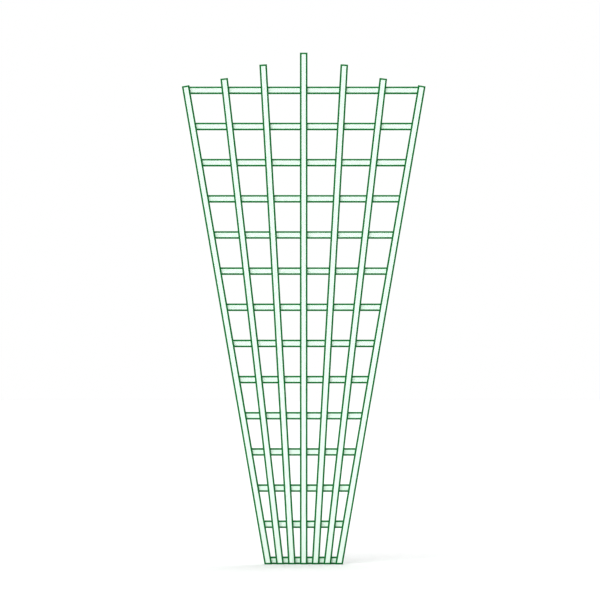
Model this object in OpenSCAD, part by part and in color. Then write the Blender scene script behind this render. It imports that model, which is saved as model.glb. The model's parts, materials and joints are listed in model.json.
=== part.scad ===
// Fan-shaped espalier frame for training a climber or a fruit tree flat against a wall.
// Seven chamfered laths fan out from a narrow foot. They stand in front of the level rails,
// each let into an angled housing in every rail, and every crossing is screwed from behind.
// Millimetres. Z is up, the front faces -Y, and the origin is the middle of the foot on the ground.

/* [Fan] */
// Height of the frame, from the ground to the top of the centre upright
frame_h = 1909; // [1400:1:2400]
// Spacing of the uprights' centre lines at the ground
foot_pitch = 44; // [38:1:70]
// Spacing of the uprights' centre lines at the middle of the top rail
top_pitch = 146; // [100:1:180]
// Height of the centre upright above the upper edge of the top rail
centre_rise = 126; // [20:1:200]
// Height of the inner pair of uprights above the upper edge of the top rail
inner_rise = 82; // [10:1:200]
// Height of the middle pair of uprights above the upper edge of the top rail
middle_rise = 30; // [5:1:200]
// Height of the outer pair of uprights above the upper edge of the top rail
outer_rise = 2.5; // [1:0.5:200]

/* [Rails] */
// Number of rails, with the lowest one on the ground
rail_count = 14; // [4:1:18]
// How far a rail's end stops short of the outer upright's edge
rail_setback = 3.5; // [0:0.5:8]

/* [Timber] */
// Face width of an upright
upright_w = 28; // [20:0.5:32]
// Thickness of an upright from front to back
upright_t = 20; // [17:0.5:28]
// Face width of a rail
rail_w = 28; // [20:0.5:40]
// Thickness of a rail from front to back
rail_t = 20; // [15:0.5:28]
// Chamfer along the edges of every lath
chamfer = 3.5; // [1:0.25:5]
// Depth to which an upright is let into a rail
housing_depth = 5; // [2:0.25:7]
// Clearance at each cheek of a housing
housing_gap = 0.1; // [0.05:0.05:0.5]

/* [Assembly screws] */
// Diameter of a screw's shank
screw_d = 4; // [3:0.25:5]
// Diameter of a screw's countersunk head
screw_head_d = 8; // [6.5:0.25:9]
// How far a screw reaches into an upright
screw_bite = 15.3; // [8:0.1:16]
// Length of a screw's pointed tip
screw_tip_l = 5; // [2:0.5:7]
// Depth of a screw's head below the back of its rail
screw_sink = 0.3; // [0.1:0.1:1]
// Radial clearance round a screw
screw_gap = 0.1; // [0.05:0.05:0.3]
// Span of the cross recess in a screw's head
recess_span = 4.6; // [3:0.1:5]
// Width of each slot of the cross recess
recess_slot = 1.1; // [0.7:0.1:1.5]
// Depth of the cross recess
recess_depth = 1.8; // [1:0.1:2.2]

/* [Wall fixings] */
// Diameter of the four plain holes that take the wall screws
fixing_d = 5.5; // [4:0.25:8]

/* [Hidden] */
$fn = 48;
pair_names = ["inner", "middle", "outer"];
pair_count = len(pair_names);
upright_count = 2 * pair_count + 1;
rises = [centre_rise, inner_rise, middle_rise, outer_rise];
uprights = [-pair_count : pair_count];
rails = [0 : rail_count - 1];

// Straight rim of a screw's head above its cone, and the flat on the point of its tip
screw_rim = 0.4;
screw_point_d = 0.6;
// Turn of the cross recess from one screw to the next, so that no two slots line up
recess_turn = 37;
// Overlap that lets a cutter run clean through a face
eps = 1;
// Wall screws stand halfway across the second bay from the centre
fixing_bay = 1.5;

// Depth of the whole frame, and the planes from front to back
depth = upright_t + rail_t - housing_depth;
front_y = -depth / 2;
seat_y = front_y + upright_t;
back_y = depth / 2;
upright_y = front_y + upright_t / 2;
rail_y = back_y - rail_t / 2;

// Heights, with the rails evenly spaced from the ground to the top rail
top_edge_z = frame_h - centre_rise;
top_rail_z = top_edge_z - rail_w / 2;
rail_pitch = (top_edge_z - rail_w) / (rail_count - 1);

// Width and height that clear the whole fan, for blanks and cutters
tallest_z = top_edge_z + max(rises);
reach_x = 2 * (pair_count * pitch_at(tallest_z) + upright_w);
reach_z = 2 * tallest_z;

// Screws
screw_l = rail_t - housing_depth - screw_sink + screw_bite;
screw_cone_h = (screw_head_d - screw_d) / 2;

// Rails that carry the wall fixings: the second from the bottom and the second from the top
fixing_rails = [1, rail_count - 2];

// Height of a rail's centre line, counted from the bottom
function rail_z(r) = rail_w / 2 + r * rail_pitch;
// Spacing of the uprights at a height
function pitch_at(z) = foot_pitch + (top_pitch - foot_pitch) * z / top_rail_z;
// Lean of an upright from plumb; uprights are counted from the centre, negative to the left
function lean(i) = atan(i * (top_pitch - foot_pitch) / top_rail_z);
// Length of an upright along its own centre line, from the ground to its square-cut top
function upright_l(i) = (top_edge_z + rises[abs(i)]) / cos(lean(i));
// Spare length below the ground, which the level foot cut takes off
function foot_spare() = max(upright_w, upright_t);

function upright_name(i) =
    i == 0 ? "upright_centre" : str("upright_", pair_names[abs(i) - 1], i < 0 ? "_left" : "_right");
function rail_name(r) = str("rail_", r < 9 ? "0" : "", r + 1);
function screws_name(r) = str(rail_name(r), "_screws");

// Rectangle with all four corners cut off at 45 degrees
module chamfered_section(w, t) {
    polygon([
        [w / 2 - chamfer, -t / 2], [w / 2, -t / 2 + chamfer],
        [w / 2, t / 2 - chamfer], [w / 2 - chamfer, t / 2],
        [-w / 2 + chamfer, t / 2], [-w / 2, t / 2 - chamfer],
        [-w / 2, -t / 2 + chamfer], [-w / 2 + chamfer, -t / 2]
    ]);
}

// Side outline of an upright, with its upper end eased at the front and the back
module eased_side(l) {
    half_t = upright_t / 2;
    polygon([
        [-half_t, -foot_spare()], [half_t, -foot_spare()],
        [half_t, l - chamfer], [half_t - chamfer, l],
        [-half_t + chamfer, l], [-half_t, l - chamfer]
    ]);
}

// Puts a shape that was drawn along Z on an upright's leaning centre line
module on_upright(i) {
    translate([i * foot_pitch, 0, 0]) rotate([0, lean(i), 0]) children();
}

// Puts a shape that was drawn along Z on a crossing, with Z pointing out of the frame's back
module on_crossing(i, r, y) {
    translate([i * pitch_at(rail_z(r)), y, rail_z(r)]) rotate([-90, 0, 0]) children();
}

// An upright before its foot is cut level and its screw holes are drilled
module upright_blank(i) {
    l = upright_l(i);
    on_upright(i) translate([0, upright_y, 0]) intersection() {
        translate([0, 0, -foot_spare()])
            linear_extrude(l + foot_spare()) chamfered_section(upright_w, upright_t);
        rotate([90, 0, 90]) linear_extrude(upright_w, center = true) eased_side(l);
    }
}

// Everything above the ground between the front and the back of the uprights, eased at the foot
module foot_cut() {
    half_t = upright_t / 2;
    translate([0, upright_y, 0]) rotate([90, 0, 90]) linear_extrude(reach_x, center = true) polygon([
        [-half_t, chamfer], [-half_t + chamfer, 0], [half_t - chamfer, 0], [half_t, chamfer],
        [half_t, reach_z], [-half_t, reach_z]
    ]);
}

module upright(i) {
    color("honeydew") difference() {
        intersection() {
            upright_blank(i);
            foot_cut();
        }
        for (r = rails)
            on_crossing(i, r, seat_y - screw_bite - screw_gap)
                cylinder(d = screw_d + 2 * screw_gap, h = screw_bite + screw_gap + eps);
    }
}

// The angled slot that an upright sits in: its own section, eased at the cheeks
module housing_cutter(i) {
    on_upright(i) translate([0, upright_y, -foot_spare()])
        linear_extrude(reach_z) chamfered_section(upright_w + 2 * housing_gap, upright_t);
}

// Everything on the inner side of the right-hand end cut, which follows the outer upright's lean
module rail_end_cut() {
    end_x = upright_w / 2 - rail_setback;
    half_t = rail_t / 2;
    on_upright(pair_count) translate([0, rail_y, -reach_z]) linear_extrude(2 * reach_z) polygon([
        [-reach_x, -half_t], [end_x - chamfer, -half_t], [end_x, -half_t + chamfer],
        [end_x, half_t - chamfer], [end_x - chamfer, half_t], [-reach_x, half_t]
    ]);
}

// Hole for a screw, with its countersink; Z = 0 is the back of the rail
module screw_hole() {
    hole_d = screw_d + 2 * screw_gap;
    mouth_d = screw_head_d + 2 * screw_gap;
    mouth_h = screw_sink + screw_rim;
    translate([0, 0, -rail_t]) cylinder(d = hole_d, h = rail_t + eps);
    translate([0, 0, -mouth_h - screw_cone_h]) cylinder(d1 = hole_d, d2 = mouth_d, h = screw_cone_h);
    translate([0, 0, -mouth_h]) cylinder(d = mouth_d, h = mouth_h + eps);
}

module rail(r) {
    color("honeydew") difference() {
        intersection() {
            translate([0, rail_y, rail_z(r)]) rotate([90, 0, 90])
                linear_extrude(reach_x, center = true) chamfered_section(rail_t, rail_w);
            rail_end_cut();
            mirror([1, 0, 0]) rail_end_cut();
        }
        for (i = uprights) {
            housing_cutter(i);
            on_crossing(i, r, back_y) screw_hole();
        }
        if (len(search(r, fixing_rails)) > 0)
            for (side = [-1, 1])
                on_crossing(side * fixing_bay, r, back_y - rail_t - eps)
                    cylinder(d = fixing_d, h = rail_t + 2 * eps);
    }
}

// Countersunk wood screw with a cross recess; Z = 0 is the top of its head
module screw() {
    difference() {
        rotate_extrude() polygon([
            [0, 0], [screw_head_d / 2, 0], [screw_head_d / 2, -screw_rim],
            [screw_d / 2, -screw_rim - screw_cone_h], [screw_d / 2, -screw_l + screw_tip_l],
            [screw_point_d / 2, -screw_l], [0, -screw_l]
        ]);
        for (turn = [0, 90])
            rotate([0, 0, turn]) translate([-recess_span / 2, -recess_slot / 2, -recess_depth])
                cube([recess_span, recess_slot, recess_depth + eps]);
    }
}

module rail_screws(r) {
    color("silver") for (i = uprights)
        on_crossing(i, r, back_y - screw_sink)
            rotate([0, 0, recess_turn * (r * upright_count + i)]) screw();
}

for (i = uprights) upright(i);
for (r = rails) rail(r);
for (r = rails) rail_screws(r);
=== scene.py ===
# %% [markdown]
# # A fan-shaped espalier frame
#
# This frame carries a trained fruit tree or a climber flat against a wall. Painted laths fan out
# from a narrow foot and stand in front of level rails. Each upright is let into every rail, and a
# screw driven from behind holds each crossing.
#
# The solids come from a CAD model, which is loaded as a fixed frame. The lesson makes each lath and
# screw again with softer edges and a real finish, and lets every new piece stand for its CAD node.

# %% Load the frame
import json
import math

import bpy
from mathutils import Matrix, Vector


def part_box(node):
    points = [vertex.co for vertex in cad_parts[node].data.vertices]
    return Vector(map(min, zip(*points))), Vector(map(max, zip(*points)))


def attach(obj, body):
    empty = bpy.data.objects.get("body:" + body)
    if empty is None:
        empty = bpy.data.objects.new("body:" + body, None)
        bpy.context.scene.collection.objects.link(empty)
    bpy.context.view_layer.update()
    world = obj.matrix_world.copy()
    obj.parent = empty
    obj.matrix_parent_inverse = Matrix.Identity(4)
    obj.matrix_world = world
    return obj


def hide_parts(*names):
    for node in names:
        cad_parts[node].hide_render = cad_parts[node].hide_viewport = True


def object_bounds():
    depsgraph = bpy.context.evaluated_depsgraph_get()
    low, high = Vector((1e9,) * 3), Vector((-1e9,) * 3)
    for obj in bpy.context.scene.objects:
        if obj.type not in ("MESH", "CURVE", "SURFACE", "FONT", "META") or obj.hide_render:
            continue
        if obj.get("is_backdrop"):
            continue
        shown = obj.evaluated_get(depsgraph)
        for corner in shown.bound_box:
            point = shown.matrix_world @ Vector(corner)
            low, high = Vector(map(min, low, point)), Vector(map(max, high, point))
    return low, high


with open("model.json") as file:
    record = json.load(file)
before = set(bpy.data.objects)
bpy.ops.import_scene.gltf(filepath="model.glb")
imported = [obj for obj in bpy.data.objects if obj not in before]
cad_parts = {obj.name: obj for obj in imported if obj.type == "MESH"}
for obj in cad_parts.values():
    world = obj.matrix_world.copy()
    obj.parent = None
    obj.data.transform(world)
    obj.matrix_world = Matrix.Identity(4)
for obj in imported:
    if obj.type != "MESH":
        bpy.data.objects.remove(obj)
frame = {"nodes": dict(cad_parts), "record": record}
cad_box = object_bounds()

print("CAD nodes:", len(frame["nodes"]))
print("size in metres:", [round(side, 4) for side in cad_box[1] - cad_box[0]])

# %% [markdown]
# ## Measuring the frame
#
# The sizes are read from the CAD solids, so the new pieces follow the model if it changes. The
# centre upright stands plumb, so its box gives a lath's section. The screws mark the crossings, so
# the box round a rail's screws gives the spacing of the uprights at that height. Spacing grows
# evenly with height, and that rate is the lean from one upright to the next.

# %% Measure the laths and the crossings
def size_of(node):
    low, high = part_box(node)
    return high - low


def middle_of(node):
    low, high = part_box(node)
    return (low + high) / 2


def from_the_left(node):
    return middle_of(node).x


nodes = list(frame["nodes"])
rails = sorted(node for node in nodes if node.startswith("rail_") and not node.endswith("_screws"))
uprights = sorted([node for node in nodes if node.startswith("upright_")], key=from_the_left)
crossings = len(uprights)
lath_width = size_of("upright_centre").x
lath_depth = size_of("upright_centre").y
rail_heights = [middle_of(rail).z for rail in rails]
screw_boxes = [size_of(f"{rail}_screws") for rail in rails]
rail_pitches = [(box.x - box.z) / (crossings - 1) for box in screw_boxes]
lean_step = (rail_pitches[-1] - rail_pitches[0]) / (rail_heights[-1] - rail_heights[0])
foot_pitch = rail_pitches[0] - lean_step * rail_heights[0]
mm_per_metre = 1000
print(f"laths of {lath_width * mm_per_metre:.1f} x {lath_depth * mm_per_metre:.1f} mm")
print(f"uprights {foot_pitch * mm_per_metre:.1f} mm apart at the ground")
print(f"each leans {math.degrees(math.atan(lean_step)):.2f} degrees more than its neighbour")

# %% [markdown]
# ## A camera for a front elevation
#
# The picture is a true front elevation: verticals stay vertical and nothing narrows with distance.
# A real lens comes close to that from far away, so the camera has a long lens and stands well back.
# Three places in the 600-pixel picture fix the rest: the top of the centre upright, the ground line
# and the middle of the fan. The frame's height over the first two is the scale.

# %% Place the camera
picture_px = 600
top_px = 52.6
ground_px = 564.4
middle_px = 303.7
focal_length = 300
far_limit = 200

metres_per_px = (cad_box[1].z - cad_box[0].z) / (ground_px - top_px)
lens = bpy.data.cameras.new("front_elevation")
lens.lens = focal_length
lens.clip_end = far_limit
distance = picture_px * metres_per_px * focal_length / lens.sensor_width
camera = bpy.data.objects.new("front_elevation", lens)
camera.location.x = (picture_px / 2 - middle_px) * metres_per_px
camera.location.y = cad_box[0].y - distance
camera.location.z = (ground_px - picture_px / 2) * metres_per_px
camera.rotation_euler.x = math.radians(90)
bpy.context.scene.collection.objects.link(camera)
bpy.context.scene.camera = camera
print(f"{metres_per_px * mm_per_metre:.3f} mm to a pixel, camera {distance:.1f} m in front")

# %% [markdown]
# ## Short words for node trees
#
# Geometry trees and materials are both made of nodes, and both take the same few steps: add a node,
# set what it does, and fill its inputs. These helpers do that in one line. An input that is given a
# socket is linked to it, and one that is given a plain value is set.

# %% Helpers that add nodes
def fill(tree, node, inputs):
    for socket, value in inputs.items():
        if isinstance(value, bpy.types.NodeSocket):
            tree.links.new(value, node.inputs[socket])
        else:
            node.inputs[socket].default_value = value
    return node


def add(tree, kind, inputs=None, **settings):
    node = tree.nodes.new(kind)
    for name, value in settings.items():
        setattr(node, name, value)
    return fill(tree, node, inputs or {})


print("node helpers ready")

# %% [markdown]
# Most nodes in these trees do sums, so the common sums get short names. The noise texture has a
# fourth axis, and a different place on it gives each lath its own pattern. Its values lie round a
# half, so taking a half away makes them swing both ways.

# %% Helpers for sums and noise
noise_middle = 0.5
noise_centre = (noise_middle, noise_middle, noise_middle)


def number(tree, operation, *values):
    return add(tree, "ShaderNodeMath", dict(enumerate(values)), operation=operation).outputs[0]


def plus(tree, first, second):
    return number(tree, "ADD", first, second)


def minus(tree, first, second):
    return number(tree, "SUBTRACT", first, second)


def times(tree, first, second):
    return number(tree, "MULTIPLY", first, second)


def vector(tree, operation, *values):
    return add(tree, "ShaderNodeVectorMath", dict(enumerate(values)), operation=operation).outputs[0]


def joined(tree, x, y, z):
    return add(tree, "ShaderNodeCombineXYZ", {0: x, 1: y, 2: z}).outputs[0]


def parts(tree, value):
    return add(tree, "ShaderNodeSeparateXYZ", {0: value}).outputs


def noise(tree, place, seed, scale, detail=2.0):
    sockets = {"Vector": place, "W": seed, "Scale": scale, "Detail": detail}
    return add(tree, "ShaderNodeTexNoise", sockets, noise_dimensions="4D").outputs


print("sums and noise ready")

# %% [markdown]
# ## Paint that follows the lath
#
# Brush strokes and grain run along a lath, and the laths lean at seven different angles. A pattern
# in the frame's own axes would cut across them. So each lath carries two attributes on its points,
# which its geometry tree stores further down: lath_place, the place across, through and along the
# lath, and lath_ends, the distance to its two ends and a number of its own. One material can then
# paint them all, and no two come out alike. Inside the material, lengths are in millimetres.

# %% Read a lath's own coordinates
seed_spread = 100


def lath_coordinates(tree):
    place = add(tree, "ShaderNodeAttribute", attribute_name="lath_place").outputs["Vector"]
    ends = add(tree, "ShaderNodeAttribute", attribute_name="lath_ends").outputs["Vector"]
    in_mm = (mm_per_metre, mm_per_metre, mm_per_metre)
    across, through, along = parts(tree, vector(tree, "MULTIPLY", place, in_mm))
    spread = (mm_per_metre, mm_per_metre, seed_spread)
    start, end, seed = parts(tree, vector(tree, "MULTIPLY", ends, spread))
    end_gap = number(tree, "MINIMUM", start, end)
    return {"across": across, "through": through, "along": along, "end_gap": end_gap, "seed": seed}


print("lath coordinates can be read")

# %% [markdown]
# A few more short words serve the finishes. Each finish is a material with one Principled shader. A
# ramp turns a measure into a share, smoothly from one limit to the other. A colour is its red, green
# and blue. A tint blends two colours by a share. The Mix node has inputs of the same name for each
# kind of data, so the colours are picked by number.

# %% Helpers for finishes
def new_finish(name):
    material = bpy.data.materials.new(name)
    material.use_nodes = True
    return material, material.node_tree, material.node_tree.nodes["Principled BSDF"]


def ramp(tree, value, low, high, most=1.0):
    limits = {"Value": value, "From Min": low, "From Max": high, "To Max": most}
    return add(tree, "ShaderNodeMapRange", limits, interpolation_type="SMOOTHSTEP").outputs[0]


def colour(red, green, blue):
    return (red, green, blue, 1.0)


def tint(tree, share, low, high):
    return add(tree, "ShaderNodeMix", {0: share, 6: low, 7: high}, data_type="RGBA").outputs[2]


print("finish helpers ready")

# %% [markdown]
# ## The green lining
#
# The frame is drawn in green outlines, and the painted frame keeps them: every edge is picked out in
# green, over its chamfer and a little way on to the white face. A second material on the chamfers
# could not reach the face, so the paint finds the edges itself. An edge is where two faces are near
# at once. Of the distances to the sides, to the front or back, and to the ends, the two smallest add
# up to the chamfer's width anywhere on a chamfer and to more than that on a face, so one sum draws
# all the lines, round the ends too. A line drawn by hand wavers, so noise moves its edge.

# %% Find the lining
chamfer = 0.0035
chamfer_mm = chamfer * mm_per_metre
lining_lap = 2.4
lining_waver = 0.6
lining_blur = 0.12
waver_scale = 0.09
hand_stretch = 0.35


def two_nearest(tree, at):
    side_gap = minus(tree, lath_width / 2 * mm_per_metre, number(tree, "ABSOLUTE", at["across"]))
    face_gap = minus(tree, lath_depth / 2 * mm_per_metre, number(tree, "ABSOLUTE", at["through"]))
    nearer = number(tree, "MINIMUM", side_gap, face_gap)
    farther = number(tree, "MAXIMUM", side_gap, face_gap)
    first = number(tree, "MINIMUM", nearer, at["end_gap"])
    second = number(tree, "MINIMUM", farther, number(tree, "MAXIMUM", nearer, at["end_gap"]))
    return first, second


def hand_place(tree, at):
    return joined(tree, at["across"], at["through"], times(tree, at["along"], hand_stretch))


def lining(tree, at, first, second):
    wave = noise(tree, hand_place(tree, at), at["seed"], waver_scale, detail=3.0)["Fac"]
    waver = times(tree, minus(tree, wave, noise_middle), lining_waver)
    width = plus(tree, waver, chamfer_mm + lining_lap)
    return ramp(tree, minus(tree, width, plus(tree, first, second)), -lining_blur, lining_blur)


print(f"lining {chamfer_mm + lining_lap:.1f} mm wide seen from the front")

# %% [markdown]
# Ties and sleeves rub the paint off the sharpest arrises here and there. An arris is where a chamfer
# meets a face: one of the two distances is nothing there, and the other is the chamfer's width. A
# second noise says how far the rubbing reaches from it.

# %% Find the worn arrises
rub_scale = 0.16
rub_limits = (0.60, 0.80)
rub_reach = 0.9
rub_blur = 0.15


def wear(tree, at, first, second):
    off_chamfer = number(tree, "ABSOLUTE", minus(tree, second, chamfer_mm))
    off_arris = plus(tree, first, off_chamfer)
    rubbed = noise(tree, hand_place(tree, at), at["seed"], rub_scale, detail=4.0)["Fac"]
    reach = ramp(tree, rubbed, *rub_limits, most=rub_reach)
    return ramp(tree, minus(tree, reach, off_arris), 0.0, rub_blur)


print(f"arrises rubbed up to {rub_reach} mm wide")

# %% [markdown]
# ## Timber under the paint
#
# Paint hides the colour of planed softwood but not its figure: the hard summer wood stands a little
# proud and shows as faint ridges. The figure is solid, like the wood: rings round a pith that lies
# outside the lath and wanders along it. The faces then cut the rings into long lines and the ends
# cut them into arcs. The brush leaves its own fine streaks along the lath.

# %% Growth rings and brush strokes
ring_gap = 2.6
summer_limits = (0.35, 0.85)
winter_limits = (1.0, 0.9)
pith_depth = 34.0
pith_sway = 30.0
pith_wander = (60.0, 40.0, 0.0)
wander_scale = 0.004
stroke_scale = 0.85
stroke_stretch = 0.016


def growth_rings(tree, at):
    drift_place = joined(tree, 0.0, 0.0, times(tree, at["along"], wander_scale))
    drift = vector(tree, "SUBTRACT", noise(tree, drift_place, at["seed"], 1.0)["Color"], noise_centre)
    pith_side = times(tree, number(tree, "SINE", at["seed"]), pith_sway)
    from_pith = joined(tree, minus(tree, at["across"], pith_side), plus(tree, at["through"], pith_depth), 0.0)
    from_pith = vector(tree, "ADD", from_pith, vector(tree, "MULTIPLY", drift, pith_wander))
    radius = add(tree, "ShaderNodeVectorMath", {0: from_pith}, operation="LENGTH").outputs["Value"]
    share = number(tree, "FRACT", number(tree, "DIVIDE", radius, ring_gap))
    return times(tree, ramp(tree, share, *summer_limits), ramp(tree, share, *winter_limits))


def brush_strokes(tree, at):
    place = joined(tree, at["across"], at["through"], times(tree, at["along"], stroke_stretch))
    return noise(tree, place, at["seed"], stroke_scale, detail=3.0)["Fac"]


print(f"growth rings {ring_gap} mm apart")

# %% [markdown]
# ## Mixing the paint
#
# The white is a satin white with a breath of green. It is a shade deeper where the brush ran thin,
# over summer wood, and in the first hand's width above the soil, where rain splashes. The green is
# streaked by the brush as well, and rubbed through to the pale primer on the worn arrises.

# %% Mix the colours
white_full = colour(0.848, 0.975, 0.884)
white_thin = colour(0.690, 0.840, 0.740)
soil_splash = colour(0.620, 0.640, 0.560)
green_full = colour(0.002, 0.168, 0.034)
green_thin = colour(0.006, 0.250, 0.060)
primer = colour(0.600, 0.620, 0.560)
stroke_thinning = 0.8
ring_thinning = 0.25
white_limits = (0.35, 0.85)
green_limits = (0.3, 0.75)
splash_height = 0.10
splash_ragged = 0.05
splash_share = 0.05


def paint_colour(tree, strokes, rings, lined, worn):
    thin = plus(tree, times(tree, strokes, stroke_thinning), times(tree, rings, ring_thinning))
    white = tint(tree, ramp(tree, thin, *white_limits), white_full, white_thin)
    height = parts(tree, add(tree, "ShaderNodeTexCoord").outputs["Object"])[2]
    splash = ramp(tree, minus(tree, height, times(tree, strokes, splash_ragged)), splash_height, 0.0)
    white = tint(tree, times(tree, splash, splash_share), white, soil_splash)
    green = tint(tree, ramp(tree, strokes, *green_limits), green_full, green_thin)
    return tint(tree, worn, tint(tree, lined, white, green), primer)


print("colours mixed")

# %% [markdown]
# Satin paint shines a little less along the brush marks, and least where it is rubbed off. The
# height for the bump adds up in the same way, from the strokes, the figure of the wood, and the edge
# of the green, which is a second coat. A bump only bends the light and costs no faces, which suits
# ridges as fine as these.

# %% Make the paint
satin_roughness = 0.32
stroke_roughness = 0.22
rubbed_roughness = 0.3
stroke_relief = 0.5
ring_relief = 0.35
coat_relief = 0.25
rubbed_relief = 0.6
relief_strength = 0.5
relief_depth = 0.0004
satin_shine = 0.22


def make_paint():
    material, tree, shader = new_finish("painted_timber")
    at = lath_coordinates(tree)
    first, second = two_nearest(tree, at)
    lined = lining(tree, at, first, second)
    worn = wear(tree, at, first, second)
    rings = growth_rings(tree, at)
    strokes = brush_strokes(tree, at)
    dullness = plus(tree, times(tree, strokes, stroke_roughness), times(tree, worn, rubbed_roughness))
    wood = plus(tree, times(tree, strokes, stroke_relief), times(tree, rings, ring_relief))
    coat = minus(tree, times(tree, lined, coat_relief), times(tree, worn, rubbed_relief))
    relief = {"Height": plus(tree, wood, coat), "Strength": relief_strength, "Distance": relief_depth}
    looks = {
        "Base Color": paint_colour(tree, strokes, rings, lined, worn),
        "Roughness": plus(tree, dullness, satin_roughness),
        "Normal": add(tree, "ShaderNodeBump", relief).outputs[0],
        "Specular IOR Level": satin_shine,
    }
    fill(tree, shader, looks)
    return material


paint = make_paint()
print("paint made with", len(paint.node_tree.nodes), "nodes")

# %% [markdown]
# ## Stainless screws
#
# The screws are plain stainless steel. Turning leaves fine scratches that blur the reflection
# unevenly. The cross recess is given painted shade, near black and rougher with depth. All heads lie
# in one plane at the back of the frame, so the distance below that plane tells recess from head.

# %% Make the steel
steel_bright = colour(0.66, 0.655, 0.63)
steel_dull = colour(0.50, 0.495, 0.475)
# Near black for the screw recess: painted shade, deeper with depth.
recess_shade_colour = colour(0.075, 0.070, 0.060)
head_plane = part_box(f"{rails[0]}_screws")[1].y
scratch_scale = 2600.0
scratch_stretch = (1.0, 1.0, 0.2)
scratch_seed = 3.0
scratch_strength = 0.3
scratch_depth = 0.0001
stain_scale = 420.0
stain_seed = 8.0
stain_limits = (0.35, 0.7)
recess_shade_limits = (0.0006, 0.0018)
steel_roughness = 0.2
scratch_roughness = 0.25
recess_roughness = 0.3


def make_steel():
    material, tree, shader = new_finish("stainless_steel")
    place = add(tree, "ShaderNodeTexCoord").outputs["Object"]
    scratch_place = vector(tree, "MULTIPLY", place, scratch_stretch)
    scratches = noise(tree, scratch_place, scratch_seed, scratch_scale, detail=3.0)["Fac"]
    stain = noise(tree, place, stain_seed, stain_scale, detail=3.0)["Fac"]
    metal = tint(tree, ramp(tree, stain, *stain_limits), steel_bright, steel_dull)
    sunk = minus(tree, head_plane, parts(tree, place)[1])
    # Painted shade: the recess turns darker and rougher with depth below the heads' plane.
    shade_in_recess = ramp(tree, sunk, *recess_shade_limits)
    dullness = plus(tree, times(tree, scratches, scratch_roughness), times(tree, shade_in_recess, recess_roughness))
    relief = {"Height": scratches, "Strength": scratch_strength, "Distance": scratch_depth}
    looks = {
        "Base Color": tint(tree, shade_in_recess, metal, recess_shade_colour),
        "Roughness": plus(tree, dullness, steel_roughness),
        "Normal": add(tree, "ShaderNodeBump", relief).outputs[0],
        "Metallic": 1.0,
    }
    fill(tree, shader, looks)
    return material


steel = make_steel()
print("steel made with", len(steel.node_tree.nodes), "nodes")

# %% [markdown]
# ## Geometry trees as tools
#
# The frame repeats one idea many times, a lath cut to length, so Geometry Nodes make the laths. A
# tree is built once, with a named input for each size, and a modifier on each piece fills the inputs
# in. A modifier knows an input by its identifier and not by its name, so the name is looked up
# first. Each tree ends by making its copies real and setting the material.

# %% Helpers for geometry trees
def new_tree(name, inputs):
    tree = bpy.data.node_groups.new(name, "GeometryNodeTree")
    tree.interface.new_socket("Geometry", in_out="OUTPUT", socket_type="NodeSocketGeometry")
    sockets = {"Geometry": "Geometry", "Finish": "Material", **inputs}
    for label, kind in sockets.items():
        tree.interface.new_socket(label, in_out="INPUT", socket_type=f"NodeSocket{kind}")
    return tree, add(tree, "NodeGroupInput").outputs


def close_tree(tree, geometry, finish):
    whole = add(tree, "GeometryNodeRealizeInstances", {0: geometry}).outputs[0]
    finished = add(tree, "GeometryNodeSetMaterial", {0: whole, "Material": finish}).outputs[0]
    add(tree, "NodeGroupOutput", {"Geometry": finished})
    print(f"{tree.name}: {len(tree.nodes)} nodes")


def grow(piece, tree, values):
    modifier = piece.modifiers.new(tree.name, "NODES")
    modifier.node_group = tree
    sockets = [item for item in tree.interface.items_tree if item.in_out == "INPUT"]
    identifiers = {item.name: item.identifier for item in sockets}
    for label, value in values.items():
        modifier[identifiers[label]] = value


print("geometry helpers ready")

# %% [markdown]
# A piece starts as an object with an empty mesh, and its modifiers grow the shape. Once the shape is
# right, the modifiers are turned into a plain mesh, because what leaves Blender later has to be
# plain. Edges that bend by less than a given angle are shaded smooth, and the others stay crisp.

# %% Helpers for pieces
def new_piece(name):
    piece = bpy.data.objects.new(name, bpy.data.meshes.new(name))
    bpy.context.scene.collection.objects.link(piece)
    return piece


def make_plain(piece, smooth_below):
    depsgraph = bpy.context.evaluated_depsgraph_get()
    mesh = bpy.data.meshes.new_from_object(piece.evaluated_get(depsgraph))
    mesh.name = piece.name
    mesh.shade_smooth()
    mesh.set_sharp_from_angle(angle=math.radians(smooth_below))
    piece.modifiers.clear()
    piece.data = mesh


print("piece helpers ready")

# %% [markdown]
# ## A lath blank
#
# Timber merchants sell the lath as a straight planed length, and the maker cuts its ends. The tree
# starts the same way: a long box with rings of points along it. Each ring has three points across, so
# that a line of edges runs along the middle. The tree first marks the edges that a plane takes off
# later: the long ones, and those across the front and the back of each end. Only marked edges are
# chamfered, so an end keeps its square corners as seen from the front.

# %% Build the blank's tree: the box and its planed edges
blank_inputs = {
    "Length": "Float", "Width": "Float", "Depth": "Float", "Start Slope": "Float", "End Slope": "Float",
    "Lean": "Float", "Foot": "Vector", "Rings": "Int", "Waver": "Float", "Seed": "Float",
}
blank, given = new_tree("lath_blank", blank_inputs)
points_across = 3
side_share = 0.4
end_share = 0.4999
least_run = 0.001


def size_over(tree, value, limit):
    return number(tree, "GREATER_THAN", number(tree, "ABSOLUTE", value), limit)


box_size = joined(blank, given["Width"], given["Depth"], given["Length"])
box = {"Size": box_size, "Vertices X": points_across, "Vertices Z": given["Rings"]}
lath = add(blank, "GeometryNodeMeshCube", box).outputs[0]
edge = add(blank, "GeometryNodeInputMeshEdgeVertices").outputs
run = parts(blank, vector(blank, "SUBTRACT", edge["Position 2"], edge["Position 1"]))
edge_at = parts(blank, edge["Position 1"])
at_side = size_over(blank, edge_at[0], times(blank, given["Width"], side_share))
at_end = size_over(blank, edge_at[2], times(blank, given["Length"], end_share))
long_edge = times(blank, size_over(blank, run[2], least_run), at_side)
end_edge = times(blank, size_over(blank, run[0], least_run), at_end)
planed = {0: lath, "Name": "bevel_weight_edge", "Value": number(blank, "MAXIMUM", long_edge, end_edge)}
lath = add(blank, "GeometryNodeStoreNamedAttribute", planed, domain="EDGE").outputs[0]
print("planed edges marked")

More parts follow.
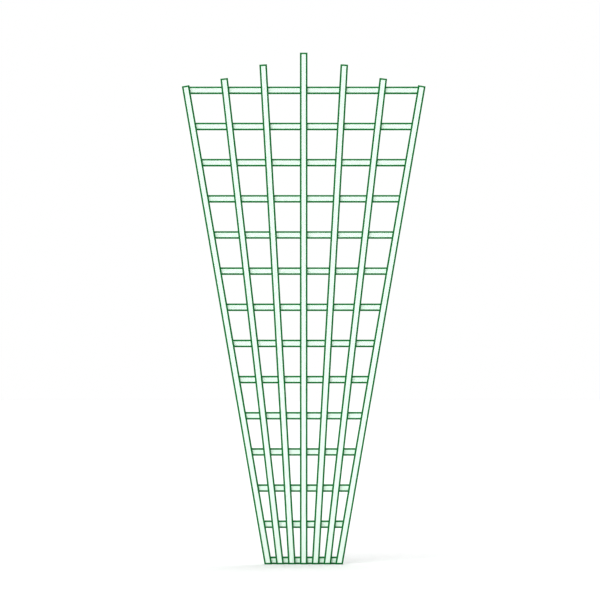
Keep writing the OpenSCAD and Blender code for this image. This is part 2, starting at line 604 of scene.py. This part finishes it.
# %% [markdown]
# A slope at each end then slides the points along the lath, which cuts an upright's foot level with
# the ground and a rail's ends along the outer uprights. Planed timber is never quite true, so noise
# moves the edges by a hair. A rotation about Y leans the lath, and a rail is simply a lath that leans
# by 90 degrees.

# %% Build the blank's tree: the end cuts and the lean
wood_scale = (20.0, 20.0, 5.0)

position = add(blank, "GeometryNodeInputPosition").outputs[0]
across, through, along = parts(blank, position)
share = plus(blank, number(blank, "DIVIDE", along, given["Length"]), 0.5)
slope = add(blank, "ShaderNodeMix", {0: share, 2: given["Start Slope"], 3: given["End Slope"]}).outputs[0]
slide = plus(blank, times(blank, given["Length"], share), times(blank, across, slope))
wood = vector(blank, "MULTIPLY", position, wood_scale)
bumps = noise(blank, wood, given["Seed"], 1.0, detail=1.0)["Color"]
bumps = vector(blank, "SUBTRACT", bumps, noise_centre)
untrue = vector(blank, "MULTIPLY", bumps, joined(blank, given["Waver"], given["Waver"], 0.0))
shaped = vector(blank, "ADD", joined(blank, across, through, slide), untrue)
lean = {"Vector": shaped, "Angle": given["Lean"]}
leaning = add(blank, "ShaderNodeVectorRotate", lean, rotation_type="Y_AXIS").outputs[0]
placed = {0: lath, "Position": vector(blank, "ADD", leaning, given["Foot"])}
lath = add(blank, "GeometryNodeSetPosition", placed).outputs[0]
close_tree(blank, lath, given["Finish"])

# %% [markdown]
# ## Housings and holes
#
# Before the frame goes together, each rail is trenched for the uprights and drilled for its screws.
# Booleans do that here. The trench is cut by a bar with an upright's own chamfered section: a
# rectangle whose corners a fillet of one step cuts straight, swept along a line. The bars stand on a
# row of points at the crossings, and each leans one step more than the one before.

# %% Build the joinery's tree: the housings
joinery_inputs = {
    "Crossings": "Int", "Pitch": "Float", "Height": "Float", "Lean Step": "Float", "Width": "Float",
    "Depth": "Float", "Chamfer": "Float", "Upright Y": "Float", "Back Y": "Float", "Hole Radius": "Float",
    "Mouth Radius": "Float", "Mouth Depth": "Float", "Wall Holes": "Bool", "Wall Hole Radius": "Float",
    "Wall Hole Spread": "Float",
}
joinery, given = new_tree("rail_joinery", joinery_inputs)
bar_reach = 0.05


def row_of_points(tree, count, pitch, y, z):
    half = times(tree, minus(tree, count, 1.0), -0.5)
    start = joined(tree, times(tree, half, pitch), y, z)
    line = {"Count": count, "Start Location": start, "Offset": joined(tree, pitch, 0.0, 0.0)}
    return add(tree, "GeometryNodeMeshLine", line).outputs[0]


def copies(tree, points, shape, rotation=(0.0, 0.0, 0.0)):
    row = {"Points": points, "Instance": shape, "Rotation": rotation}
    return add(tree, "GeometryNodeInstanceOnPoints", row).outputs[0]


section = {"Width": given["Width"], "Height": given["Depth"]}
rectangle = add(joinery, "GeometryNodeCurvePrimitiveQuadrilateral", section).outputs[0]
corners = {0: rectangle, "Count": 1, "Radius": given["Chamfer"]}
profile = add(joinery, "GeometryNodeFilletCurve", corners, mode="POLY").outputs[0]
ends = {"Start": (0.0, 0.0, -bar_reach), "End": (0.0, 0.0, bar_reach)}
line = add(joinery, "GeometryNodeCurvePrimitiveLine", ends).outputs[0]
swept = {0: line, "Profile Curve": profile, "Fill Caps": True}
bar = add(joinery, "GeometryNodeCurveToMesh", swept).outputs[0]
index = add(joinery, "GeometryNodeInputIndex").outputs[0]
middle = times(joinery, minus(joinery, given["Crossings"], 1.0), 0.5)
bar_slope = times(joinery, minus(joinery, index, middle), given["Lean Step"])
bar_lean = joined(joinery, 0.0, number(joinery, "ARCTANGENT", bar_slope), 0.0)
bar_points = row_of_points(joinery, given["Crossings"], given["Pitch"], given["Upright Y"], given["Height"])
bars = copies(joinery, bar_points, bar, bar_lean)
print("housing cutters ready")

# %% [markdown]
# Drills and screws are both turned on a lathe, and sweeping a circle along an axis is the same idea:
# at each point of the axis the circle is scaled to the radius there. An index switch holds the few
# depths and radii that a turner would read off a drawing.

# %% Helpers for turned shapes
def by_index(tree, values):
    switch = add(tree, "GeometryNodeIndexSwitch", data_type="FLOAT")
    while len(switch.index_switch_items) < len(values):
        switch.index_switch_items.new()
    index = add(tree, "GeometryNodeInputIndex").outputs[0]
    return fill(tree, switch, dict(enumerate((index, *values)))).outputs[0]


def turned(tree, depths, radii, sides):
    straight = add(tree, "GeometryNodeCurvePrimitiveLine").outputs[0]
    axis = add(tree, "GeometryNodeResampleCurve", {0: straight, "Count": len(depths)}).outputs[0]
    spaced = {0: axis, "Position": joined(tree, 0.0, 0.0, by_index(tree, depths))}
    axis = add(tree, "GeometryNodeSetPosition", spaced).outputs[0]
    ring = {"Resolution": sides, "Radius": 1.0}
    circle = add(tree, "GeometryNodeCurvePrimitiveCircle", ring).outputs[0]
    swept = {0: axis, "Profile Curve": circle, "Scale": by_index(tree, radii), "Fill Caps": True}
    return add(tree, "GeometryNodeCurveToMesh", swept).outputs[0]


def laid_down(tree, shape):
    turn = {0: shape, "Rotation": (math.radians(-90), 0.0, 0.0)}
    return add(tree, "GeometryNodeTransform", turn).outputs[0]


print("turning helpers ready")

# %% [markdown]
# A stepped drill makes a screw hole and its countersink in one go. Each drill stands on the rail's
# back and points to the front. A switch adds the two wall holes only on the rails that carry them.
# The cutters are taken off the rail one after another, housings first.

# %% Build the joinery's tree: the holes and the cuts
drill_sides = 32
drill_reach = 0.06
overcut = 0.002
wall_hole_count = 2


def cut_off(tree, wood, cutter):
    solid = add(tree, "GeometryNodeRealizeInstances", {0: cutter}).outputs[0]
    pair = {0: wood, 1: solid}
    return add(tree, "GeometryNodeMeshBoolean", pair, operation="DIFFERENCE", solver="MANIFOLD").outputs[0]


back = given["Back Y"]
hole = given["Hole Radius"]
mouth = given["Mouth Radius"]
wall_hole = given["Wall Hole Radius"]
mouth_floor = times(joinery, given["Mouth Depth"], -1.0)
sink_floor = minus(joinery, mouth_floor, minus(joinery, mouth, hole))
drill_depths = (overcut, mouth_floor, sink_floor, -drill_reach)
stepped_drill = turned(joinery, drill_depths, (mouth, mouth, hole, hole), drill_sides)
straight_drill = turned(joinery, (overcut, -drill_reach), (wall_hole, wall_hole), drill_sides)
hole_points = row_of_points(joinery, given["Crossings"], given["Pitch"], back, given["Height"])
wall_points = row_of_points(joinery, wall_hole_count, given["Wall Hole Spread"], back, given["Height"])
holes = copies(joinery, hole_points, laid_down(joinery, stepped_drill))
wall_holes = copies(joinery, wall_points, laid_down(joinery, straight_drill))
wall_cut = add(joinery, "GeometryNodeSwitch", {0: given["Wall Holes"], 2: wall_holes}).outputs[0]

rail = given["Geometry"]
for cutter in (bars, holes, wall_cut):
    rail = cut_off(joinery, rail, cutter)
close_tree(joinery, rail, given["Finish"])

# %% [markdown]
# The uprights are drilled as well. A pilot hole takes the end of each screw, at the height of every
# rail, and stops short of the front, so that the face of the frame stays whole.

# %% Build the pilot holes' tree
pilot_inputs = {
    "Holes": "Int", "First Hole": "Vector", "Step": "Vector", "Radius": "Float", "Hole Depth": "Float",
}
pilots, given = new_tree("pilot_holes", pilot_inputs)
hole_row = {"Count": given["Holes"], "Start Location": given["First Hole"], "Offset": given["Step"]}
pilot_points = add(pilots, "GeometryNodeMeshLine", hole_row).outputs[0]
pilot_depths = (overcut, times(pilots, given["Hole Depth"], -1.0))
pilot_drill = turned(pilots, pilot_depths, (given["Radius"], given["Radius"]), drill_sides)
pilot_cut = copies(pilots, pilot_points, laid_down(pilots, pilot_drill))
close_tree(pilots, cut_off(pilots, given["Geometry"], pilot_cut), given["Finish"])

# %% [markdown]
# ## Marking out a finished lath
#
# The paint needs to know where it is on a lath. This tree undoes the lean to find the place across,
# through and along the lath, measures how far each point lies from the two end cuts, and stores
# both on the points. It comes after the cuts, so that points made by a cut are marked out too.

# %% Build the marking tree: the lath's coordinates
marking_inputs = {
    "Length": "Float", "Start Slope": "Float", "End Slope": "Float", "Lean": "Float", "Foot": "Vector",
    "Seed": "Float", "Strips": "Int",
}
marking, cut_lath = new_tree("lath_marking", marking_inputs)
unlean = times(marking, cut_lath["Lean"], -1.0)


def on_lath(position):
    off_foot = vector(marking, "SUBTRACT", position, cut_lath["Foot"])
    turn = {"Vector": off_foot, "Angle": unlean}
    return add(marking, "ShaderNodeVectorRotate", turn, rotation_type="Y_AXIS").outputs[0]


def square_to_cut(past_end, slope):
    return times(marking, past_end, number(marking, "COSINE", number(marking, "ARCTANGENT", slope)))


def store(geometry, name, value, **kind):
    sockets = {0: geometry, "Name": name, "Value": value}
    return add(marking, "GeometryNodeStoreNamedAttribute", sockets, **kind).outputs[0]


start_slope = cut_lath["Start Slope"]
end_slope = cut_lath["End Slope"]
place = on_lath(add(marking, "GeometryNodeInputPosition").outputs[0])
across, through, along = parts(marking, place)
past_start = minus(marking, along, times(marking, across, start_slope))
past_end = plus(marking, minus(marking, cut_lath["Length"], along), times(marking, across, end_slope))
start_gap = square_to_cut(past_start, start_slope)
end_gap = square_to_cut(past_end, end_slope)
gaps = joined(marking, start_gap, end_gap, cut_lath["Seed"])
marked = store(cut_lath["Geometry"], "lath_place", place, data_type="FLOAT_VECTOR")
marked = store(marked, "lath_ends", gaps, data_type="FLOAT_VECTOR")
print("lath coordinates stored")

# %% [markdown]
# ## A map for baking
#
# A model that leaves Blender carries its paint as a picture laid over the mesh by a UV map. An upright
# is nearly seventy times as long as it is wide, so a map of its whole length would leave most of the
# picture empty and the lining blurred. Cut into a few strips that lie side by side, it fills the
# picture. Seams run along the middle of the back, across the lath at each strip's end, down the wall
# of each hole, and at sharp edges.

# %% Build the marking tree: the map
fold_play = 0.003
line_play = 0.001
sharp_seam = math.radians(35)
strip_margin = 0.006


def seam_marks(position):
    across, through, along = parts(marking, on_lath(position))
    past_start = minus(marking, along, times(marking, across, start_slope))
    taper = minus(marking, end_slope, start_slope)
    length_here = plus(marking, cut_lath["Length"], times(marking, across, taper))
    strips = times(marking, number(marking, "DIVIDE", past_start, length_here), cut_lath["Strips"])
    off_fold = number(marking, "ABSOLUTE", minus(marking, strips, number(marking, "ROUND", strips)))
    fold = number(marking, "LESS_THAN", off_fold, fold_play)
    near_line = number(marking, "LESS_THAN", number(marking, "ABSOLUTE", across), line_play)
    return fold, near_line, through


edge = add(marking, "GeometryNodeInputMeshEdgeVertices").outputs
first_fold, first_near, first_depth = seam_marks(edge["Position 1"])
second_fold, second_near, second_depth = seam_marks(edge["Position 2"])
at_back = number(marking, "GREATER_THAN", number(marking, "MINIMUM", first_depth, second_depth), 0.0)
goes_in = size_over(marking, minus(marking, first_depth, second_depth), line_play)
along_line = times(marking, first_near, second_near)
in_line = times(marking, along_line, number(marking, "MAXIMUM", at_back, goes_in))
bend = add(marking, "GeometryNodeInputMeshEdgeAngle").outputs["Unsigned Angle"]
sharp = number(marking, "GREATER_THAN", bend, sharp_seam)
seam = plus(marking, plus(marking, times(marking, first_fold, second_fold), in_line), sharp)
unrolled = {"Seam": seam, "Margin": 0.0}
flat = add(marking, "GeometryNodeUVUnwrap", unrolled).outputs[0]
packed = add(marking, "GeometryNodeUVPackIslands", {"UV": flat, "Margin": strip_margin}).outputs[0]
marked = store(marked, "OFBake", packed, data_type="FLOAT2", domain="CORNER")
close_tree(marking, marked, cut_lath["Finish"])

# %% [markdown]
# The number of strips makes a lath's map about as wide as it is high: a lath is as wide unrolled as
# it measures round its section, and each chamfer saves a little of that. The rings of points are
# spaced so that each strip ends on a ring.

# %% Count the strips and the rings
fewest_strips = 2
ring_pitch = 0.045
corner_saving = (2 - math.sqrt(2)) * chamfer
lath_girth = 2 * (lath_width + lath_depth) - 4 * corner_saving


def strip_count(length):
    return max(fewest_strips, round(math.sqrt(length / lath_girth)))


def ring_count(length):
    strips = strip_count(length)
    return strips * math.ceil(length / ring_pitch / strips) + 1


print(f"a lath is {lath_girth * mm_per_metre:.0f} mm round its chamfered section")

# %% [markdown]
# ## From blank to lath
#
# A plane takes the chamfers off, and sandpaper softens what is left. Two Bevel modifiers do the
# same: the first cuts the marked edges flat, the second rounds the new arrises a little. They sit
# between the blank and the cuts, and the marking comes last. The finished lath then stands for its
# CAD node.

# %% Helpers that make one lath
arris_softness = 0.0007
arris_angle = math.radians(25)
edge_waver = 0.0005
flat_below = 5


def bevel(piece, width, segments, limit):
    modifier = piece.modifiers.new("bevel", "BEVEL")
    modifier.width = width
    modifier.segments = segments
    modifier.limit_method = limit
    modifier.angle_limit = arris_angle
    modifier.use_clamp_overlap = False


def make_lath(name, cad_node, lath, cutting_tree, cuts):
    piece = new_piece(name)
    section = {"Width": lath_width, "Depth": lath_depth, "Waver": edge_waver}
    grow(piece, blank, {"Finish": paint, **section, **lath})
    bevel(piece, width=chamfer, segments=1, limit="WEIGHT")
    bevel(piece, width=arris_softness, segments=3, limit="ANGLE")
    grow(piece, cutting_tree, {"Finish": paint, **cuts})
    shared = ("Length", "Start Slope", "End Slope", "Lean", "Foot", "Seed")
    marks = {label: lath[label] for label in shared}
    grow(piece, marking, {"Finish": paint, "Strips": strip_count(lath["Length"]), **marks})
    make_plain(piece, flat_below)
    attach(piece, "root")
    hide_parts(cad_node)
    print(f"{name}: {lath['Length'] * mm_per_metre:.0f} mm long, {len(piece.data.polygons)} faces")


print(f"arrises softened by {arris_softness * mm_per_metre:.1f} mm")

# %% [markdown]
# ## The uprights
#
# Seven laths fan out from the foot. Each foot is cut level, each top square. They could be copies of
# one lath, turned by hand, but each has its own length and lean, so a loop makes them from their CAD
# boxes. A leaning lath with a square top is tallest at one corner, and that corner's height gives the
# length. The pilot holes follow the lean, one at the height of each rail.

# %% Make the uprights
screw_radius = 0.002
screw_gap = 0.0001
upright_y = middle_of("upright_centre").y
seat_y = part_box("upright_centre")[1].y
screw_point_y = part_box(f"{rails[0]}_screws")[0].y
rail_step = rail_heights[1] - rail_heights[0]
upright_seed = 0.11
upright_seed_step = 0.37

for count, node in enumerate(uprights):
    step = count - crossings // 2
    slant = math.atan(step * lean_step)
    corner = lath_width / 2 * math.sin(abs(slant))
    length = (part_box(node)[1].z - corner) / math.cos(slant)
    lath = {
        "Length": length, "Start Slope": math.tan(slant), "End Slope": 0.0, "Lean": slant,
        "Foot": (step * foot_pitch, upright_y, 0.0), "Rings": ring_count(length),
        "Seed": upright_seed + upright_seed_step * count,
    }
    cuts = {
        "Holes": len(rails), "First Hole": (step * rail_pitches[0], seat_y, rail_heights[0]),
        "Step": (step * lean_step * rail_step, 0.0, rail_step), "Radius": screw_radius + screw_gap,
        "Hole Depth": seat_y - screw_point_y + screw_gap,
    }
    make_lath(f"painted_{node}", node, lath, pilots, cuts)

# %% [markdown]
# ## The rails
#
# Fourteen level laths lie behind the uprights. Their ends follow the lean of the outer uprights, so
# the end slopes are that lean, once each way. The record of the part gives the wall holes: how high
# they are, how far apart, and their radius.

# %% Make the rails
housing_gap = 0.0001
screw_rim = 0.0004
rail_y = middle_of(rails[0]).y
back_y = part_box(rails[0])[1].y
outer_slope = lean_step * (crossings // 2)
wall_fixings = [mount for mount in frame["record"]["mounts"] if mount["kind"] == "bolt_pattern"]
rail_seed = 3.05
rail_seed_step = 0.53


def wall_cuts(height):
    for mount in wall_fixings:
        if abs(mount["pos_m"][2] - height) < lath_width / 2:
            radius = mount["dims"]["hole_r_mm"] / mm_per_metre
            spread = mount["dims"]["spacing_x_mm"] / mm_per_metre
            return {"Wall Holes": True, "Wall Hole Radius": radius, "Wall Hole Spread": spread}
    return {"Wall Holes": False}


for count, node in enumerate(rails):
    height = rail_heights[count]
    half_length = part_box(node)[1].x - outer_slope * lath_width / 2
    lath = {
        "Length": 2 * half_length, "Start Slope": outer_slope, "End Slope": -outer_slope,
        "Lean": math.radians(90), "Foot": (-half_length, rail_y, height),
        "Rings": ring_count(2 * half_length), "Seed": rail_seed + rail_seed_step * count,
    }
    cuts = {
        "Crossings": crossings, "Pitch": rail_pitches[count], "Height": height, "Lean Step": lean_step,
        "Width": lath_width + 2 * housing_gap, "Depth": lath_depth, "Chamfer": chamfer,
        "Upright Y": upright_y, "Back Y": back_y, "Hole Radius": screw_radius + screw_gap,
        "Mouth Radius": screw_boxes[count].z / 2 + screw_gap, "Mouth Depth": back_y - head_plane + screw_rim,
        **wall_cuts(height),
    }
    make_lath(f"painted_{node}", node, lath, joinery, cuts)

# %% [markdown]
# ## The screws
#
# One countersunk screw holds each crossing. Its body is turned like the drills, from the flat of the
# head to the point: a head with a softened rim, a cone, a plain shank and a tip.

# %% Build the screws' tree: the turned body
screw_inputs = {
    "Crossings": "Int", "Pitch": "Float", "Head Y": "Float", "Height": "Float", "Length": "Float",
    "Head Radius": "Float", "Shank Radius": "Float", "Seed": "Int",
}
driven, given = new_tree("driven_screws", screw_inputs)
screw_sides = 24
head_edge = 0.00015
tip_length = 0.005
tip_radius = 0.0003

head = given["Head Radius"]
shank = given["Shank Radius"]
cone_end = minus(driven, minus(driven, shank, head), screw_rim)
tip_start = minus(driven, tip_length, given["Length"])
point = times(driven, given["Length"], -1.0)
screw_depths = (0.0, -head_edge, -screw_rim, cone_end, tip_start, point)
screw_radii = (minus(driven, head, head_edge), head, head, shank, shank, tip_radius)
body = turned(driven, screw_depths, screw_radii, screw_sides)
print("screw body turned")

# %% [markdown]
# Two blocks that narrow with depth sink the cross recess into the head. The finished screw is laid
# on its side, point to the front, and copied to a row of points at the crossings. Each copy is
# turned by a random angle with a fixed seed, because nobody lines screw heads up.

# %% Build the screws' tree: the recess and the row
recess_span = 0.0046
recess_slot = 0.0011
recess_depth = 0.0018
recess_floor_share = 0.62

block_size = {"Size": (recess_span, recess_slot, 2 * recess_depth)}
block = add(driven, "GeometryNodeMeshCube", block_size).outputs[0]
x, y, z = parts(driven, add(driven, "GeometryNodeInputPosition").outputs[0])
depth_share = number(driven, "DIVIDE", z, -recess_depth)
narrowing = minus(driven, 1.0, times(driven, depth_share, 1.0 - recess_floor_share))
block_place = {0: block, "Position": joined(driven, times(driven, x, narrowing), y, z)}
slot = add(driven, "GeometryNodeSetPosition", block_place).outputs[0]
quarter_turn = {0: slot, "Rotation": (0.0, 0.0, math.radians(90))}
cross_slot = add(driven, "GeometryNodeTransform", quarter_turn).outputs[0]
for cutter in (slot, cross_slot):
    body = cut_off(driven, body, cutter)
screw = laid_down(driven, body)
turn = add(driven, "FunctionNodeRandomValue", {3: math.tau, "Seed": given["Seed"]}).outputs[1]
screw_points = row_of_points(driven, given["Crossings"], given["Pitch"], given["Head Y"], given["Height"])
close_tree(driven, copies(driven, screw_points, screw, joined(driven, 0.0, turn, 0.0)), given["Finish"])

# %% [markdown]
# One object holds the seven screws of a rail, as its CAD node does. The box round those screws gives
# the length of a screw and the size of its head. The seed grows from rail to rail, so no two rows are
# turned alike.

# %% Drive the screws
first_turn_seed = 20
round_below = 30

for count, rail_name in enumerate(rails):
    piece = new_piece(f"driven_{rail_name}_screws")
    box = screw_boxes[count]
    row = {
        "Finish": steel, "Crossings": crossings, "Pitch": rail_pitches[count], "Head Y": head_plane,
        "Height": rail_heights[count], "Length": box.y, "Head Radius": box.z / 2,
        "Shank Radius": screw_radius, "Seed": first_turn_seed + count,
    }
    grow(piece, driven, row)
    make_plain(piece, round_below)
    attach(piece, "root")
    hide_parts(f"{rail_name}_screws")
print(f"{len(rails)} rows of {crossings} screws, {len(piece.data.polygons)} faces a row")

# %% [markdown]
# ## A plain studio
#
# The picture has a pure white ground with nothing in it. A wide pale floor takes the frame's soft
# shadow. It is faintly mottled, as a painted studio floor is.

# %% Lay the floor
floor_size = 60.0
floor_dark = colour(0.94, 0.94, 0.94)
floor_light = colour(0.97, 0.97, 0.97)
floor_roughness = 0.7
mottle_scale = 9.0
mottle_seed = 1.0

half = floor_size / 2
floor = new_piece("floor")
floor_corners = [(-half, -half, 0), (half, -half, 0), (half, half, 0), (-half, half, 0)]
floor.data.from_pydata(floor_corners, [], [(0, 1, 2, 3)])
floor_paint, tree, shader = new_finish("pale_floor")
place = add(tree, "ShaderNodeTexCoord").outputs["Object"]
mottle = noise(tree, place, mottle_seed, mottle_scale, detail=4.0)["Fac"]
pale = tint(tree, mottle, floor_dark, floor_light)
fill(tree, shader, {"Base Color": pale, "Roughness": floor_roughness})
floor.data.materials.append(floor_paint)
floor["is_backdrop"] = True
print(f"floor {floor_size:.0f} m wide")

# %% [markdown]
# The camera sees a white sky, but that sky lights the frame only faintly, or the sides of the laths
# would come out as white as their faces. From afar a green line is thinner than two pixels and mixes
# with the white beside it, so a gamma below one deepens it again.

# %% Set the sky
fill_light = 0.2
line_gamma = 0.8

sky = bpy.data.worlds.new("white_sky")
bpy.context.scene.world = sky
sky.use_nodes = True
tree = sky.node_tree
seen = add(tree, "ShaderNodeLightPath").outputs["Is Camera Ray"]
strength = plus(tree, times(tree, seen, 1.0 - fill_light), fill_light)
fill(tree, tree.nodes["Background"], {"Color": colour(1.0, 1.0, 1.0), "Strength": strength})
bpy.context.scene.view_settings.view_transform = "Standard"
bpy.context.scene.view_settings.gamma = line_gamma
print(f"sky lights the frame at {fill_light} of what the camera sees")

# %% [markdown]
# Two wide soft lamps do the rest: one from the upper left in front, for the faces, and one from high
# behind, for the pale floor and the backs. A sun lamp has no place, only a direction, and the angle
# it spreads over makes its shadows soft.

# %% Hang the lamps
lamp_spread = math.radians(60)


def soft_lamp(name, azimuth, elevation, strength):
    lamp = bpy.data.lights.new(name, "SUN")
    lamp.energy = strength
    lamp.angle = lamp_spread
    holder = bpy.data.objects.new(name, lamp)
    turn = math.radians(azimuth)
    rise = math.radians(elevation)
    towards = Vector((math.sin(turn) * math.cos(rise), -math.cos(turn) * math.cos(rise), math.sin(rise)))
    holder.rotation_euler = (-towards).to_track_quat("-Z", "Y").to_euler()
    bpy.context.scene.collection.objects.link(holder)
    print(f"{name}: {azimuth} degrees round from the front, {elevation} degrees up")


soft_lamp("front_lamp", azimuth=-20, elevation=38, strength=2.1)
soft_lamp("high_lamp", azimuth=165, elevation=68, strength=2.0)

# %% [markdown]
# ## Checking the size
#
# The box round the new pieces is compared with the CAD model's, and the offset of each corner is
# printed in millimetres. The new pieces may not outgrow the CAD model.

# %% Compare the boxes
visual_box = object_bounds()
for corner, planned, made in zip(("low", "high"), cad_box, visual_box):
    print(corner, "corner off by mm:", [round(gap * mm_per_metre, 2) for gap in made - planned])
